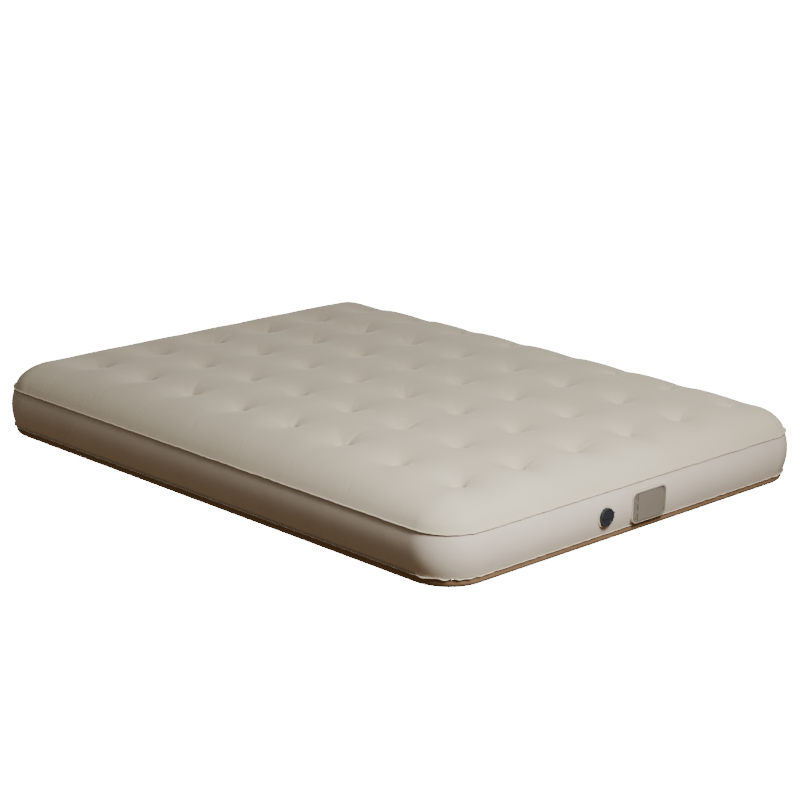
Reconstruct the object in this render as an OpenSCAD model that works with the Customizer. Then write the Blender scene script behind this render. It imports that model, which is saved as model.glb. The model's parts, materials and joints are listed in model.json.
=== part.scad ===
// Single-height queen air bed with welded coil tubes, a push-in plug valve and a built-in pump.
// The origin is the bottom centre of the whole bed: +X across the bed, +Y towards the foot
// end without fittings, +Z up. The pump and the valve sit in the end band that faces -Y.

/* [Bed] */
// Half of the width between the long seams
seam_half_x = 751; // [700:10:800]
// Half of the length between the end seams
seam_half_y = 977; // [940:1:1000]
// Corner radius of the seam lines
seam_r = 125; // [115:5:140]
// Run over which the shoulder rises from the upper seam to the crowns
shoulder_run = 155; // [150:5:200]
// Height of the lower seam
low_seam_z = 30; // [24:1:31]
// Height of the upper seam
high_seam_z = 150; // [140:1:160]
// Height of the pillow crowns
crown_z = 240; // [225:1:250]
// How far the side band bulges past the seams
band_bulge = 12; // [8:1:16]
// Thickness of the sheets
sheet_t = 1.6; // [1.2:0.1:2]
// Run over which the bottom sheet curls under
curl_run = 32; // [32:1:60]
// How far the welded seam flanges stick out
flange_w = 6; // [4:0.5:8]
// Thickness of the welded seam flanges
flange_t = 1.2; // [0.8:0.1:2]

/* [Coils] */
// Coil tubes across the width
coils_x = 6; // [4:1:6]
// Coil tubes along the length
coils_y = 8; // [6:1:8]
// Spacing of the coils across the width
pitch_x = 228; // [200:1:230]
// Spacing of the coils along the length
pitch_y = 221.5; // [200:0.5:225]
// Offset of the grid from the bed's centre across the width
grid_dx = 39.5; // [0:0.5:40]
// Offset of the grid from the bed's centre along the length
grid_dy = -22.5; // [-30:0.5:0]
// Height of the dimple bottoms at mid length
dimple_z = 212; // [205:1:220]
// How much lower the dimples lie at the two ends
dimple_fall = 21; // [0:1:25]
// Radius of a top dimple where it meets the crowns
dimple_mouth_r = 92; // [70:1:100]
// Radius of a dimple's flat core
dimple_core_r = 15; // [10:1:20]
// Radius of a dimple's mouth in the underside
low_mouth_r = 55; // [40:1:70]
// Depth of the dimples in the underside
low_dimple_h = 8; // [4:1:12]
// Outer radius of a coil tube
coil_r = 30; // [20:1:40]
// Wall of a coil tube
coil_t = 1; // [0.6:0.1:1.5]
// Radius of the air holes in a coil tube
vent_r = 8; // [4:1:10]
// Thickness of the discs that weld a coil tube to the sheets
weld_disc_t = 1.5; // [1:0.1:2]

/* [Pump] */
// Centre of the pump panel across the width
pump_x = 26.5; // [-60:0.5:100]
// Centre of the pump panel above the floor
pump_z = 81; // [78:0.5:84]
// How far the bezel stands proud of the bulged band
pump_proud = 5; // [3:0.5:8]
// Width of the bezel
bezel_w = 139; // [138:0.5:140]
// Height of the bezel
bezel_h = 84; // [83:0.5:84]
// Corner radius of the bezel
bezel_r = 15; // [13:1:16]
// Width of the hinge strip at the bezel's left
strip_w = 20; // [19.5:0.5:20.5]
// Width of the door
door_w = 110; // [108:1:111]
// Height of the door
door_h = 77; // [76:0.5:77]
// Radius of the door's free corners
door_r = 25; // [20:1:27]

/* [Valve] */
// Centre of the valve across the width
valve_x = -156; // [-200:1:-150]
// Centre of the valve above the floor
valve_z = 84; // [80:1:95]
// Outer radius of the valve's cap and collar
valve_r = 25; // [24:0.5:26]
// Radius of the valve's bore
valve_bore_r = 19.2; // [19:0.1:19.6]
// How far the cap stands proud of the bulged band
valve_proud = 10; // [9:1:12]

/* [Hidden] */
$fn = 64;
TINY = 0.01;
// Room round the frames that are welded into the band, and how far cuts reach past a wall
weld_gap = 0.2;
cut_reach = 40;
// The valve cap reaches furthest out at -Y, so the chamber is moved back by half of that
body_dy = valve_proud / 2;
wall_y = body_dy - seam_half_y - band_bulge;
// An arc that is level at its end needs this radius to cover a run and a rise
shoulder_rise = crown_z - high_seam_z;
shoulder_r = (shoulder_run * shoulder_run + shoulder_rise * shoulder_rise) / (2 * shoulder_rise);
curl_r = (curl_run * curl_run + low_seam_z * low_seam_z) / (2 * low_seam_z);
end_panel_left = valve_x - 60;
end_panel_right = pump_x + bezel_w;
band_half_h = (high_seam_z - low_seam_z) / 2;
band_mid_z = (high_seam_z + low_seam_z) / 2;
band_r = (band_half_h * band_half_h + band_bulge * band_bulge) / (2 * band_bulge);
// Depths in the pump and the valve are counted inwards from the panel's and the cap's front
pump_front_y = wall_y - pump_proud;
valve_front_y = wall_y - valve_proud;
// Pump: the door, its hinge and the housing behind them
door_t = 3;
door_gap = 1.2;
door_left = strip_w - bezel_w / 2;
door_right = door_left + door_w;
hinge_x = door_left - 3;
hinge_d = 3.1;
pin_r = 1.2;
pin_half = 24;
knuckle_r = 2.6;
eye_z = [-14, 14];
eye_half = 5;
bezel_t = 6;
collar_w = 2.5;
housing_left = -50;
housing_right = 60;
housing_h = 74;
housing_t = 2.2;
housing_r = 8;
flange_d = 8;
housing_back = 128;
panel_d = 46;
panel_t = 3;
screw_x = -60;
screw_z = 31;
screw_head_r = 3.2;
screw_core_r = 1.3;
boss_r = 4;
boss_end = 24;
// Pump: the screws that hold the control panel to posts in the housing's corners
post_inset = 6;
post_r = 5.5;
small_head_r = 2.8;
small_core_r = 1.1;
// Pump: the selector's and the fan's axes
selector_x = -28;
fan_x = 24;
shaft_r = 3;
shaft_d = 30;
run_gap = 0.05;
// Pump: the grille and the power inlet on the control panel
fitting_x = fan_x + 8;
grille_z = 14;
grille_r = 15;
inlet_z = -18;
inlet_w = 22;
inlet_h = 12;
fitting_lip = 1.5;
prong_x = 4.3;
prong_r = 1.2;
prong_end = panel_d + 15.5;
volute_d0 = 66;
volute_d1 = 84;
volute_r = 31.5;
volute_wall = 1.6;
impeller_r = 26;
impeller_d = 79;
blades_d = 70;
motor_r = 14;
motor_back = 112;
motor_shaft_r = 1.25;
motor_screw_x = 8.5;
motor_screw_r = 1.2;
// Pump: the outlet from the diverter to the air chamber, and its shut-off
diverter_r = 17;
rotor_r = 15;
port_x = 8.5;
port_r = 4.5;
duct_r = 16;
duct_bore_r = 14.4;
outlet_r = 13;
guide_d = 108;
guide_t = 3;
stem_r = 2;
stem_d = 93;
stem_head_r = 5.5;
// Valve: the tether's hinge
tether_x = 29;
tether_d = 5.6;
tether_pin_r = 0.8;
tether_half = 5;
skirt_r = 17.6;
// Valve: the flap's hinge
flap_z = 17.6;
flap_d = 23.1;
flap_bar_r = 0.6;
// Valve: the seat, the flap's disc and the collar's flange behind the weld ring
collar_front = 6.2;
seat_d = 20.2;
seat_t = 2;
flange_back_r = 30;
ring_r = 31;
ring_d0 = 9.5;
ring_d1 = 18;

// ---- places and sweeps ----------------------------------------------------------------------

function grid_x(i) = grid_dx + (i - (coils_x - 1) / 2) * pitch_x;
function grid_y(j) = grid_dy + (j - (coils_y - 1) / 2) * pitch_y;
// The dimples lie lower towards the two ends
function dimple_bottom(j) = dimple_z - dimple_fall * pow(grid_y(j) / seam_half_y, 2);

// A 2D section, drawn as (distance outside the seam line, height), taken all round the bed
module round_the_bed() {
  straight_x = seam_half_x - seam_r;
  straight_y = seam_half_y - seam_r;
  translate([0, body_dy, 0])
    for (half = [0, 180])
      rotate([0, 0, half]) {
        translate([straight_x, straight_y, 0])
          rotate_extrude(angle = 90) translate([seam_r, 0]) children();
        translate([-straight_x, straight_y, 0])
          rotate([0, 0, 90]) rotate_extrude(angle = 90) translate([seam_r, 0]) children();
        translate([seam_half_x, straight_y, 0])
          rotate([90, 0, 0]) linear_extrude(2 * straight_y) children();
        translate([straight_x, seam_half_y, 0])
          rotate([90, 0, 90]) mirror([0, 0, 1]) linear_extrude(2 * straight_x) children();
      }
}

// The flat middle of the bed, inside the sweep
module middle_slab(z0, z1) {
  translate([0, body_dy, z0])
    linear_extrude(z1 - z0)
      square([2 * (seam_half_x - seam_r), 2 * (seam_half_y - seam_r)], center = true);
}

// Extrudes an upright 2D outline from depth d0 to depth d1
module slab(d0, d1) {
  translate([0, d1, 0]) rotate([90, 0, 0]) linear_extrude(d1 - d0) children();
}

module rod(r, d0, d1) {
  slab(d0, d1) circle(r);
}

module tube(r, bore, d0, d1) {
  slab(d0, d1) difference() {
    circle(r);
    circle(bore);
  }
}

module round_rect(w, h, r) {
  square([w - 2 * r, h], center = true);
  square([w, h - 2 * r], center = true);
  for (x = [-1, 1], y = [-1, 1])
    translate([x * (w / 2 - r), y * (h / 2 - r)]) circle(r);
}

module at_pump() {
  translate([pump_x, pump_front_y, pump_z]) children();
}

module at_valve() {
  translate([valve_x, valve_front_y, valve_z]) children();
}

// ---- the air chamber ------------------------------------------------------------------------

// Funnels that stand on every dimple's core and reach a little past the crowns
module top_pits(inset) {
  over = 1.1;
  for (i = [0 : coils_x - 1], j = [0 : coils_y - 1]) {
    h = crown_z - dimple_bottom(j);
    flare = dimple_mouth_r - dimple_core_r;
    translate([grid_x(i), grid_y(j) + body_dy, dimple_bottom(j) - inset])
      cylinder(h = over * h, r1 = dimple_core_r, r2 = dimple_core_r + over * flare);
  }
}

module low_pits(inset) {
  for (i = [0 : coils_x - 1], j = [0 : coils_y - 1])
    translate([grid_x(i), grid_y(j) + body_dy, inset])
      cylinder(h = low_dimple_h, r1 = low_mouth_r, r2 = dimple_core_r);
}

// A long block whose two upper edges are the shoulder's arcs
module arched_block(half, half_length, inset) {
  level = half - shoulder_run;
  rotate([90, 0, 0]) linear_extrude(2 * half_length, center = true) {
    for (side = [-1, 1])
      translate([side * level, crown_z - shoulder_r]) circle(shoulder_r - inset, $fn = 120);
    translate([-level, high_seam_z - sheet_t])
      square([2 * level, shoulder_rise + sheet_t - inset]);
  }
}

// Everything under the top sheet's outer face, or under its inner face with an inset
module top_dome(inset) {
  base = high_seam_z + flange_t / 2;
  difference() {
    union() {
      round_the_bed() intersection() {
        translate([-shoulder_run, crown_z - shoulder_r]) circle(shoulder_r - inset, $fn = 120);
        translate([-seam_r, base]) square([2 * seam_r, shoulder_rise]);
      }
      translate([0, body_dy, 0]) intersection() {
        translate([0, -body_dy, 0]) middle_slab(base, crown_z);
        arched_block(seam_half_x, seam_half_y, inset);
        rotate([0, 0, 90]) arched_block(seam_half_y, seam_half_x, inset);
      }
    }
    top_pits(inset);
  }
}

module top_sheet() {
  color("#bdb4a3") difference() {
    top_dome(0);
    top_dome(sheet_t);
  }
}

// Everything over the bottom sheet's outer face, or over its inner face with an inset
module bottom_tray(inset) {
  rim = low_seam_z - flange_t / 2;
  difference() {
    union() {
      round_the_bed() {
        intersection() {
          translate([-curl_run, curl_r]) circle(curl_r - inset, $fn = 120);
          translate([-curl_run, inset]) square([2 * curl_run, rim - inset]);
        }
        translate([-seam_r, inset]) square([seam_r - curl_run, rim - inset]);
      }
      middle_slab(inset, rim);
    }
    low_pits(inset);
  }
}

module bottom_sheet() {
  color("#7d6448") difference() {
    bottom_tray(0);
    bottom_tray(sheet_t);
  }
}

// The bulged strip between the two seams
module whole_band() {
  z0 = low_seam_z + flange_t / 2;
  z1 = high_seam_z - flange_t / 2;
  round_the_bed() intersection() {
    translate([band_bulge - band_r, band_mid_z]) difference() {
      circle(band_r, $fn = 120);
      circle(band_r - sheet_t, $fn = 120);
    }
    translate([-seam_r, z0]) square([seam_r + band_bulge, z1 - z0]);
  }
}

// The stretch of the band that is cut as its own panel, for the pump and the valve
module end_stretch() {
  translate([end_panel_left, wall_y - 1, 0])
    cube([end_panel_right - end_panel_left, cut_reach, high_seam_z]);
}

module side_band() {
  color("#b5aa9b") difference() {
    whole_band();
    end_stretch();
  }
}

module end_panel() {
  color("#b9ae9f") difference() {
    intersection() {
      whole_band();
      end_stretch();
    }
    at_pump() slab(-cut_reach, cut_reach) round_rect(bezel_w + 2 * collar_w + 2 * weld_gap,
      bezel_h + 2 * collar_w + 2 * weld_gap, bezel_r + collar_w);
    at_valve() rod(ring_r + weld_gap, -cut_reach, cut_reach);
  }
}

module seam_flange(z) {
  color("#c9bfae") round_the_bed()
    translate([-sheet_t, z - flange_t / 2]) square([flange_w + sheet_t, flange_t]);
}

module top_seam_flange() {
  seam_flange(high_seam_z);
}

module bottom_seam_flange() {
  seam_flange(low_seam_z);
}

// Vertical film tubes that hold the two sheets together, each with an air hole through it
module coil_tubes() {
  z0 = low_dimple_h + sheet_t + weld_disc_t;
  color("#cfc8ba")
    for (i = [0 : coils_x - 1], j = [0 : coils_y - 1])
      translate([grid_x(i), grid_y(j) + body_dy, z0])
        difference() {
          h = dimple_bottom(j) - sheet_t - weld_disc_t - z0;
          cylinder(h = h, r = coil_r);
          translate([0, 0, -1]) cylinder(h = h + 2, r = coil_r - coil_t);
          translate([-coil_r - 1, 0, h / 2]) rotate([0, 90, 0])
            cylinder(h = 2 * coil_r + 2, r = vent_r);
        }
}

module top_weld_discs() {
  color("#cfc8ba")
    for (i = [0 : coils_x - 1], j = [0 : coils_y - 1])
      translate([grid_x(i), grid_y(j) + body_dy, dimple_bottom(j) - sheet_t - weld_disc_t])
        cylinder(h = weld_disc_t, r = coil_r);
}

module bottom_weld_discs() {
  color("#cfc8ba")
    for (i = [0 : coils_x - 1], j = [0 : coils_y - 1])
      translate([grid_x(i), grid_y(j) + body_dy, low_dimple_h + sheet_t])
        cylinder(h = weld_disc_t, r = coil_r);
}

// ---- the valve ------------------------------------------------------------------------------

// Film ring welded into the band, which holds the valve body
module valve_weld_ring() {
  color("#cbc3b4") at_valve() tube(ring_r, valve_r + weld_gap, ring_d0, ring_d1);
}

// Moulded collar with a flange behind the ring, a seat with air ports and the tether's ears
module valve_body() {
  seat_r = 15;
  spoke_l = 36;
  spoke_w = 4;
  ear_z = 7.5;
  ear_h = 3;
  color("#16181a") at_valve() difference() {
    union() {
      tube(valve_r, valve_bore_r, collar_front, seat_d);
      tube(flange_back_r, valve_bore_r, ring_d1 + weld_gap, seat_d);
      tube(valve_bore_r + 1, seat_r, seat_d, seat_d + seat_t);
      slab(seat_d, seat_d + seat_t) square([spoke_l, spoke_w], center = true);
      slab(seat_d, seat_d + seat_t) square([spoke_w, spoke_l], center = true);
      // Hooks that hold the flap's bar
      for (x = [-7.2, 5.7]) translate([x, seat_d, flap_z - 1]) cube([1.5, 4.2, 2.2]);
      // Ears for the tether's pin
      for (side = [-1, 1])
        translate([0, 0, side * ear_z - ear_h / 2]) {
          translate([valve_r - ear_h, collar_front, 0]) cube([tether_x - valve_r + 5, 3, ear_h]);
          translate([tether_x - 2, tether_d - 2, 0]) cube([4, 5, ear_h]);
        }
    }
    translate([tether_x, tether_d, 0]) cylinder(h = 4 * ear_z, r = tether_pin_r, center = true);
    translate([0, flap_d, flap_z]) rotate([0, 90, 0])
      cylinder(h = valve_bore_r, r = flap_bar_r + run_gap, center = true);
  }
}

// Rubber disc that the air inside presses against the seat
module valve_flap() {
  flap_r = 17;
  flap_t = 2 * flap_bar_r;
  tab_z = 14;
  color("#2b2d2f") at_valve() {
    rod(flap_r, flap_d - flap_bar_r, flap_d + flap_bar_r);
    translate([-4, flap_d - flap_bar_r, tab_z]) cube([8, flap_t, flap_z - tab_z]);
    translate([0, flap_d, flap_z]) rotate([0, 90, 0])
      cylinder(h = 14, r = flap_bar_r, center = true);
  }
}

// Push-in plug: a round head with a grip bar, and a hollow skirt that fills the bore
module valve_cap() {
  head_d0 = 0.8;
  head_d1 = 5;
  recess_d = 2.2;
  rim_w = 4;
  grip_h = 8;
  lip_r = skirt_r - 0.2;
  groove_r = 16.6;
  hollow_r = 14.8;
  color("#1b1d1f") at_valve() {
    difference() {
      rod(valve_r, head_d0, head_d1);
      rod(valve_r - rim_w, head_d0 - TINY, recess_d);
    }
    slab(0, recess_d) round_rect(2 * valve_r - 10, grip_h, 3.9);
    tube(lip_r, hollow_r, head_d1, 8);
    tube(groove_r, hollow_r, 8, 10);
    tube(lip_r, hollow_r, 10, 12);
  }
}

// O-ring in the skirt's groove
module cap_seal() {
  color("#3a3b3d") at_valve() translate([0, 9, 0]) rotate([90, 0, 0])
    rotate_extrude() translate([skirt_r, 0]) circle(r = 0.95, $fn = 24);
}

// Strap that keeps the cap on the valve: a loose ring round the skirt and a hinge eye
module cap_tether() {
  loop_r = 22;
  strap_w = 8;
  strap_d = 5.15;
  strap_t = 0.9;
  color("#202224") at_valve() difference() {
    union() {
      tube(loop_r, skirt_r, strap_d, strap_d + strap_t);
      translate([loop_r - 2, strap_d, -strap_w / 2]) cube([tether_x - loop_r + 2, strap_t, strap_w]);
      translate([tether_x, tether_d, 0])
        cylinder(h = 2 * tether_half, r = 2 * tether_pin_r, center = true);
    }
    translate([tether_x, tether_d, 0])
      cylinder(h = 4 * tether_half, r = tether_pin_r + run_gap, center = true);
    rod(skirt_r, 0, 12);
  }
}

module tether_pin() {
  color("#8d9092") at_valve() translate([tether_x, tether_d, 0])
    cylinder(h = 18, r = tether_pin_r, center = true);
}

// ---- the pump's case ------------------------------------------------------------------------

// Film frame welded into the band, which grips the housing's flange
module pump_collar() {
  outer_w = bezel_w + 2 * collar_w;
  outer_h = bezel_h + 2 * collar_w;
  collar_d0 = 1.5;
  collar_d1 = 12;
  collar_d2 = 26;
  color("#cbc3b4") at_pump() {
    slab(collar_d0, collar_d1) difference() {
      round_rect(outer_w, outer_h, bezel_r + collar_w);
      round_rect(bezel_w + 2 * weld_gap, bezel_h + 2 * weld_gap, bezel_r + weld_gap);
    }
    slab(collar_d1, collar_d2) difference() {
      round_rect(outer_w, outer_h, bezel_r + collar_w);
      housing_outline(weld_gap);
      for (z = [-1, 1]) translate([screw_x, z * screw_z]) circle(boss_r + 2 * weld_gap);
    }
  }
}

module housing_outline(grow) {
  translate([(housing_left + housing_right) / 2, 0])
    round_rect(housing_right - housing_left + 2 * grow, housing_h + 2 * grow, housing_r + grow);
}

module at_posts() {
  for (x = [housing_left + post_inset, housing_right - post_inset], z = [-1, 1])
    translate([x, 0, z * (housing_h / 2 - post_inset)]) children();
}

// Deep box with a front flange, two screw bosses, four posts and the outlet at the back
module pump_housing() {
  color("#6f695f") at_pump() difference() {
    union() {
      slab(flange_d, flange_d + 3) round_rect(bezel_w - 1, bezel_h - 1, bezel_r - 0.5);
      slab(flange_d, housing_back) housing_outline(0);
      for (z = [-1, 1]) translate([screw_x, 0, z * screw_z]) rod(boss_r, flange_d, boss_end);
    }
    difference() {
      slab(flange_d - 1, housing_back - housing_t) housing_outline(-housing_t);
      at_posts() rod(post_r, panel_d + panel_t, housing_back);
    }
    for (z = [-1, 1]) translate([screw_x, 0, z * screw_z])
      rod(screw_core_r, flange_d - 1, boss_end - 2);
    at_posts() rod(small_core_r, panel_d, panel_d + 14);
    translate([selector_x, 0, 0]) rod(outlet_r, housing_back - 5, housing_back + 1);
  }
}

module bezel_gasket() {
  color("#3c3b39") at_pump() slab(bezel_t, flange_d) difference() {
    round_rect(bezel_w - 3, bezel_h - 3, bezel_r - 1.5);
    housing_outline(-housing_t);
    for (z = [-1, 1]) translate([screw_x, z * screw_z]) circle(screw_core_r + 0.5);
  }
}

module door_outline(grow) {
  r = door_r + grow;
  h = door_h + 2 * grow;
  translate([door_left - grow, -h / 2]) square([door_w + 2 * grow - r, h]);
  translate([door_left - grow, r - h / 2]) square([door_w + 2 * grow, h - 2 * r]);
  for (z = [-1, 1]) translate([door_right + grow - r, z * (h / 2 - r)]) circle(r);
}

// Frame with a rebate for the door, the way into the compartment and a strip for the hinge
module pump_bezel() {
  bezel_d0 = 0.6;
  rebate_w = door_w + 2 * door_gap;
  rebate_h = door_h + 2 * door_gap;
  rebate_d = 4;
  rebate_r = 10;
  channel_w = 8;
  channel_d = 2.4;
  slot_w = 2.4;
  slot_h = 34;
  slot_d = 1.8;
  color("#7c7468") at_pump() difference() {
    slab(bezel_d0, bezel_t) round_rect(bezel_w, bezel_h, bezel_r);
    // The rebate's corners are tighter than the door's, which leaves a gap for a fingertip
    slab(0, rebate_d) translate([door_left + door_w / 2, 0]) {
      round_rect(rebate_w, rebate_h, rebate_r);
      translate([-rebate_w / 2, -rebate_h / 2]) square([2 * rebate_r, rebate_h]);
    }
    slab(-1, bezel_t + 1) housing_outline(-4);
    // Channel that the door's edge swings into, pockets for its two eyes and the pin's bore
    translate([hinge_x - 5.5, -1, -rebate_h / 2]) cube([channel_w, 1 + channel_d, rebate_h]);
    for (z = eye_z)
      translate([hinge_x - 4, -1, z - eye_half - 1]) cube([8.2, bezel_t + 2, 2 * eye_half + 2]);
    translate([hinge_x, hinge_d, 0]) cylinder(h = 2 * pin_half, r = pin_r, center = true);
    for (z = [-1, 1]) translate([screw_x, 0, z * screw_z]) {
      rod(screw_core_r + 0.4, -1, bezel_t + 1);
      rod(screw_head_r + 0.2, -1, 3);
    }
    // Finger slot beside the hinge
    translate([screw_x - 5.5, -1, -slot_h / 2]) cube([slot_w, 1 + slot_d, slot_h]);
  }
}

// Two crossed bars, as in a screw's head
module cross_slot(length, width) {
  square([length, width], center = true);
  square([width, length], center = true);
}

module bezel_screws() {
  color("#5d5a55") at_pump() for (z = [-1, 1]) translate([screw_x, 0, z * screw_z]) difference() {
    union() {
      rod(screw_head_r, 1.2, 3);
      rod(screw_core_r, 3, boss_end - 3);
    }
    slab(0, 2.2) cross_slot(4.2, 0.9);
  }
}

// Flat panel with two big round corners, a catch and two hinge eyes
module pump_door() {
  catch_h = 12;
  color("#7a7367") at_pump() difference() {
    union() {
      slab(0, door_t) door_outline(0);
      for (z = eye_z) {
        translate([hinge_x, hinge_d, z - eye_half]) cylinder(h = 2 * eye_half, r = knuckle_r);
        translate([hinge_x, hinge_d - 2.2, z - eye_half]) cube([6, 2, 2 * eye_half]);
      }
      translate([housing_right - 7.5, door_t - 0.5, -catch_h / 2]) cube([1.4, 5.5, catch_h]);
    }
    for (z = eye_z)
      translate([hinge_x, hinge_d, z - eye_half - 1])
        cylinder(h = 2 * eye_half + 2, r = pin_r + run_gap);
  }
}

module door_hinge_pin() {
  color("#9a9a98") at_pump() translate([hinge_x, hinge_d, 0])
    cylinder(h = 2 * pin_half, r = pin_r, center = true);
}

// Plate across the housing that carries the selector, the grille and the inlet
module control_panel() {
  color("#5f5a52") at_pump() difference() {
    slab(panel_d, panel_d + panel_t) housing_outline(-housing_t - 0.2);
    translate([selector_x, 0, 0]) rod(shaft_r + run_gap, 0, housing_back);
    translate([fitting_x, 0, grille_z]) rod(grille_r + weld_gap, 0, housing_back);
    translate([fitting_x, 0, inlet_z]) slab(0, housing_back)
      round_rect(inlet_w + 2 * weld_gap, inlet_h + 2 * weld_gap, inlet_h / 2);
    at_posts() rod(small_core_r + 0.5, 0, housing_back);
  }
}

module panel_screws() {
  color("#8f8f8d") at_pump() at_posts() difference() {
    union() {
      rod(small_head_r, panel_d - 2, panel_d);
      rod(small_core_r, panel_d, panel_d + 12);
    }
    slab(panel_d - 3, panel_d - 1) cross_slot(4, 0.8);
  }
}

// Round knob with a grip bar across it
module selector_knob() {
  knob_r = 18;
  knob_d = 36;
  grip_d = 24;
  color("#3f3c38") at_pump() translate([selector_x, 0, 0]) difference() {
    union() {
      rod(knob_r, knob_d, panel_d - 2);
      slab(grip_d, knob_d) round_rect(7, 2 * knob_r - 4, 3.4);
    }
    rod(shaft_r, shaft_d, panel_d - 1);
  }
}

module selector_shaft() {
  color("#b9b6ae") at_pump() translate([selector_x, 0, 0]) rod(shaft_r, shaft_d, volute_d1 - 2);
}

// Disc with two ports that the selector turns in front of the duct
module diverter_rotor() {
  color("#d8d4c9") at_pump() translate([selector_x, 0, 0]) difference() {
    rod(rotor_r, volute_d0 + 3, volute_d0 + 11);
    rod(shaft_r, 0, housing_back);
    for (side = [-1, 1]) translate([side * port_x, 0, 0]) rod(port_r, 0, housing_back);
  }
}

// Round chamber round the rotor, open to the fan at its side
module diverter_body() {
  cover_t = 1.5;
  mouth_h = 12;
  color("#8a8377") at_pump() difference() {
    translate([selector_x, 0, 0]) union() {
      tube(diverter_r, rotor_r + 0.3, volute_d0, volute_d1);
      rod(diverter_r, volute_d0, volute_d0 + 2);
      rod(diverter_r, volute_d1 - cover_t, volute_d1);
    }
    translate([selector_x, 0, 0]) rod(shaft_r + run_gap, 0, volute_d1 - cover_t - TINY);
    translate([selector_x, 0, 0]) for (side = [-1, 1]) translate([0, 0, side * port_x])
      rod(port_r, volute_d1 - 2 * cover_t, housing_back);
    translate([selector_x + 8, volute_d0 + 5, -mouth_h / 2]) cube([12, 9, mouth_h]);
  }
}

module rotary_switch() {
  switch_w = 24;
  switch_t = 12;
  color("#2e3133") at_pump() translate([selector_x, 0, 0]) difference() {
    slab(panel_d + panel_t, panel_d + panel_t + switch_t) round_rect(switch_w, switch_w, 2);
    rod(shaft_r + run_gap, 0, housing_back);
  }
}

// Round grille with slots that lets the fan draw air from the compartment
module intake_grille() {
  slot_pitch = 5;
  slot_h = 2.4;
  slots_r = grille_r - 2;
  color("#47433d") at_pump() translate([fitting_x, 0, grille_z]) difference() {
    union() {
      rod(grille_r + 2, panel_d - fitting_lip, panel_d);
      rod(grille_r, panel_d, panel_d + panel_t);
    }
    for (k = [-2 : 2]) translate([0, 0, k * slot_pitch])
      slab(panel_d - 2, panel_d + panel_t + 1)
        round_rect(2 * sqrt(pow(slots_r, 2) - pow(k * slot_pitch, 2)), slot_h, slot_h / 2 - TINY);
  }
}

// Figure-8 socket for a plug-in lead
module power_inlet() {
  color("#242628") at_pump() translate([fitting_x, 0, inlet_z]) difference() {
    union() {
      slab(panel_d - fitting_lip, panel_d) round_rect(inlet_w + 4, inlet_h + 4, 5);
      slab(panel_d, panel_d + 14) round_rect(inlet_w, inlet_h, inlet_h / 2 - 0.1);
    }
    slab(panel_d - 2, panel_d + 10) round_rect(17.6, 9, 4.4);
    for (side = [-1, 1]) translate([side * prong_x, 0, 0]) rod(prong_r, panel_d, panel_d + 20);
  }
}

module inlet_pins() {
  color("#c9c9c6") at_pump() for (side = [-1, 1])
    translate([fitting_x + side * prong_x, 0, inlet_z]) rod(prong_r, panel_d + 2, prong_end);
}

// ---- the pump's works -----------------------------------------------------------------------

// Fan case: a cup with an eye at the front and a short duct to the diverter
module volute_front() {
  eye_r = 13;
  color("#e2ded4") at_pump() translate([fan_x, 0, 0]) difference() {
    union() {
      rod(volute_r, volute_d0, volute_d1 - 2);
      translate([-volute_r - 2.8, volute_d0 + 3, -8]) cube([10, 13, 16]);
    }
    rod(volute_r - volute_wall, volute_d0 + volute_wall, volute_d1);
    rod(eye_r, volute_d0 - 1, volute_d1);
    translate([-volute_r - 4, volute_d0 + 4.6, -6.4]) cube([20, 9.8, 12.8]);
  }
}

module volute_back() {
  color("#d4cfc4") at_pump() translate([fan_x, 0, 0]) difference() {
    rod(volute_r, volute_d1 - 2, volute_d1);
    rod(4.2, volute_d1 - 3, volute_d1 + 1);
    for (side = [-1, 1]) translate([side * motor_screw_x, 0, 0])
      rod(motor_screw_r + 0.2, volute_d1 - 3, volute_d1 + 1);
  }
}

// Centrifugal wheel: hub, back plate and straight blades
module impeller() {
  blades = 11;
  lean = 28;
  blade_x = 11;
  blade_l = 15.5;
  blade_t = 1.2;
  disc_t = 1.4;
  color("#f0ede6") at_pump() translate([fan_x, 0, 0]) difference() {
    union() {
      rod(impeller_r, impeller_d, impeller_d + disc_t);
      rod(4.5, blades_d, impeller_d + disc_t);
      for (k = [0 : blades - 1])
        rotate([0, 360 * k / blades, 0]) translate([blade_x, blades_d, 0]) rotate([0, lean, 0])
          translate([0, 0, -blade_t / 2])
            cube([blade_l, impeller_d + disc_t / 2 - blades_d, blade_t]);
    }
    rod(motor_shaft_r, volute_d0, volute_d1);
  }
}

module motor_shaft() {
  color("#c9c9c6") at_pump() translate([fan_x, 0, 0]) rod(motor_shaft_r, blades_d, motor_back + 4);
}

// Wound core on the shaft inside the can
module armature() {
  core_r = 10.5;
  commutator_r = 4;
  color("#9c5a34") at_pump() translate([fan_x, 0, 0]) difference() {
    union() {
      rod(core_r, 90, 104);
      rod(commutator_r, 104, 109);
    }
    rod(motor_shaft_r, volute_d0, housing_back);
  }
}

module motor_can() {
  color("#a9abab") at_pump() translate([fan_x, 0, 0]) difference() {
    rod(motor_r, volute_d1, motor_back);
    rod(motor_r - 1.2, volute_d1 + 1.5, motor_back + 1);
    rod(motor_shaft_r + run_gap, 0, housing_back);
    for (side = [-1, 1]) translate([side * motor_screw_x, 0, 0])
      rod(motor_screw_r, volute_d1 - 1, volute_d1 + 2);
  }
}

module motor_end_cap() {
  color("#efe9dc") at_pump() translate([fan_x, 0, 0]) difference() {
    union() {
      rod(motor_r, motor_back, motor_back + 1.5);
      rod(4, motor_back + 1.5, motor_back + 5);
    }
    rod(motor_shaft_r + run_gap, 100, motor_back + 4.2);
  }
}

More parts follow.
